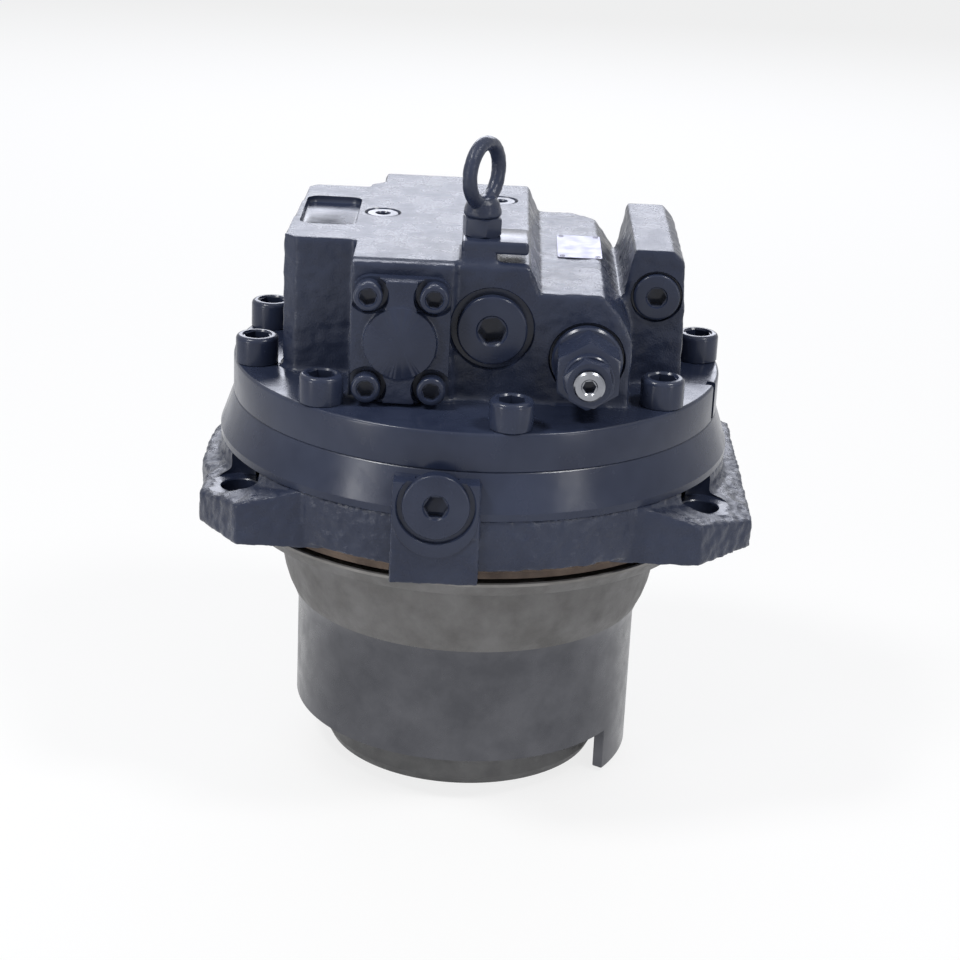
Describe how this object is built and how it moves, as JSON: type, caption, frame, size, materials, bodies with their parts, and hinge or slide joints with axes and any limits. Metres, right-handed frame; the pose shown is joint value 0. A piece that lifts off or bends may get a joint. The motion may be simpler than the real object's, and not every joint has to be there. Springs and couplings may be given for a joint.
{
  "type": "excavator final drive",
  "caption": "Hydraulic travel motor with brake and valve block on a two-stage planetary gearbox whose outer hub turns to drive a track sprocket.",
  "frame": {"origin": "where the drive axis meets the mounting face of the four-eared flange", "axes": "+Z along the drive axis from the hub to the motor; the valve block and drain plug face -Y"},
  "size_m": [0.392, 0.374, 0.4772],
  "materials": {
    "dark_blue_grey_paint": "semi-gloss over a cast skin",
    "bare_cast_iron": "rough as cast with a machined band",
    "cast_iron_parts": "as cast",
    "steel": "machined",
    "bronze": "machined",
    "plate_aluminium": "dull",
    "black_rubber": "matt"
  },
  "bodies": {
    "case": {"mounting_flange": "dark_blue_grey_paint", "motor_cover": "dark_blue_grey_paint", "cover_seal": "black_rubber", "cover_bolts": "dark_blue_grey_paint", "piston_cover": "dark_blue_grey_paint", "piston_cover_bolts": "dark_blue_grey_paint", "spool_plug_front": "dark_blue_grey_paint", "spool_plug_rear": "dark_blue_grey_paint", "relief_cartridge": "dark_blue_grey_paint", "relief_lock_nut": "steel", "relief_adjuster": "steel", "port_plug": "dark_blue_grey_paint", "drain_plug": "dark_blue_grey_paint", "flush_plugs": "steel", "eye_bolt": "dark_blue_grey_paint", "eye_bolt_nut": "dark_blue_grey_paint", "name_plate": "plate_aluminium", "valve_plate": "bronze", "shaft_bearings": "steel", "brake_plates": "steel", "brake_spring": "steel", "bearing_inner_rings": "steel", "bearing_rollers": "steel", "bearing_nut": "steel", "seal_ring_fixed": "steel", "seal_o_ring_fixed": "black_rubber", "carrier_2": "cast_iron_parts", "carrier_2_bolts": "steel", "carrier_2_pins": "steel"},
    "hub": {"hub": "bare_cast_iron", "ring_gear": "steel", "end_cover": "cast_iron_parts", "cover_snap_ring": "steel", "bearing_outer_rings": "steel", "seal_ring_hub": "steel", "seal_o_ring_hub": "black_rubber"},
    "first_carrier": {"carrier_1": "cast_iron_parts", "carrier_1_pins": "steel", "sun_2": "steel"},
    "motor_shaft": {"drive_shaft": "steel", "sun_1": "steel", "cylinder_block": "steel", "pistons": "steel", "slippers": "bronze", "retainer_plate": "steel", "brake_discs": "bronze"},
    "planet_2_a": {"planet_2_a": "steel"},
    "planet_2_b": {"planet_2_b": "steel"},
    "planet_2_c": {"planet_2_c": "steel"},
    "planet_1_a": {"planet_1_a": "steel"},
    "planet_1_b": {"planet_1_b": "steel"},
    "planet_1_c": {"planet_1_c": "steel"},
    "swash_plate": {"swash_plate": "steel"},
    "speed_piston": {"speed_piston": "steel"},
    "brake_piston": {"brake_piston": "cast_iron_parts"},
    "main_spool": {"main_spool": "steel"},
    "relief_poppet": {"relief_poppet": "steel"},
    "speed_spool": {"speed_spool": "steel"}
  },
  "joints": [
    {"name": "hub_spin", "type": "hinge", "parent": "case", "child": "hub", "pos_m": [0, 0, 0], "axis": [0, 0, 1], "continuous": true},
    {"name": "first_carrier_spin", "type": "hinge", "parent": "case", "child": "first_carrier", "pos_m": [0, 0, 0], "axis": [0, 0, 1], "continuous": true},
    {"name": "motor_shaft_spin", "type": "hinge", "parent": "case", "child": "motor_shaft", "pos_m": [0, 0, 0], "axis": [0, 0, 1], "continuous": true},
    {"name": "planet_2_a_spin", "type": "hinge", "parent": "case", "child": "planet_2_a", "pos_m": [0, 0.0672, -0.1], "axis": [0, 0, 1], "continuous": true},
    {"name": "planet_2_b_spin", "type": "hinge", "parent": "case", "child": "planet_2_b", "pos_m": [-0.0582, -0.0336, -0.1], "axis": [0, 0, 1], "continuous": true},
    {"name": "planet_2_c_spin", "type": "hinge", "parent": "case", "child": "planet_2_c", "pos_m": [0.0582, -0.0336, -0.1], "axis": [0, 0, 1], "continuous": true},
    {"name": "planet_1_a_spin", "type": "hinge", "parent": "first_carrier", "child": "planet_1_a", "pos_m": [0.05404, 0.0312, -0.147], "axis": [0, 0, 1], "continuous": true},
    {"name": "planet_1_b_spin", "type": "hinge", "parent": "first_carrier", "child": "planet_1_b", "pos_m": [-0.05404, 0.0312, -0.147], "axis": [0, 0, 1], "continuous": true},
    {"name": "planet_1_c_spin", "type": "hinge", "parent": "first_carrier", "child": "planet_1_c", "pos_m": [0, -0.0624, -0.147], "axis": [0, 0, 1], "continuous": true},
    {"name": "swash_tilt", "type": "hinge", "parent": "case", "child": "swash_plate", "pos_m": [0, 0, -0.044], "axis": [1, 0, 0], "range_deg": [-8, 0]},
    {"name": "speed_piston_slide", "type": "slide", "parent": "case", "child": "speed_piston", "axis": [0, 0, 1], "range_m": [0, 0.0054]},
    {"name": "brake_release", "type": "slide", "parent": "case", "child": "brake_piston", "axis": [0, 0, 1], "range_m": [0, 0.0025]},
    {"name": "main_spool_shift", "type": "slide", "parent": "case", "child": "main_spool", "axis": [0, 1, 0], "range_m": [-0.009, 0.009], "stiffness_N_per_m": 8000},
    {"name": "relief_lift", "type": "slide", "parent": "case", "child": "relief_poppet", "axis": [0, -1, 0], "range_m": [0, 0.003], "stiffness_N_per_m": 5000, "springref_m": -0.002},
    {"name": "speed_spool_shift", "type": "slide", "parent": "case", "child": "speed_spool", "axis": [0, 1, 0], "range_m": [0, 0.012], "stiffness_N_per_m": 3000, "springref_m": -0.004}
  ],
  "couplings": [
    {"joint": "first_carrier_spin", "follows": "hub_spin", "ratio": -3.6667},
    {"joint": "motor_shaft_spin", "follows": "hub_spin", "ratio": -29.333},
    {"joint": "planet_2_a_spin", "follows": "hub_spin", "ratio": 2.75},
    {"joint": "planet_2_b_spin", "follows": "hub_spin", "ratio": 2.75},
    {"joint": "planet_2_c_spin", "follows": "hub_spin", "ratio": 2.75},
    {"joint": "planet_1_a_spin", "follows": "hub_spin", "ratio": 11.407},
    {"joint": "planet_1_b_spin", "follows": "hub_spin", "ratio": 11.407},
    {"joint": "planet_1_c_spin", "follows": "hub_spin", "ratio": 11.407},
    {"joint": "speed_piston_slide", "follows": "swash_tilt", "m_per_rad": -0.038}
  ]
}
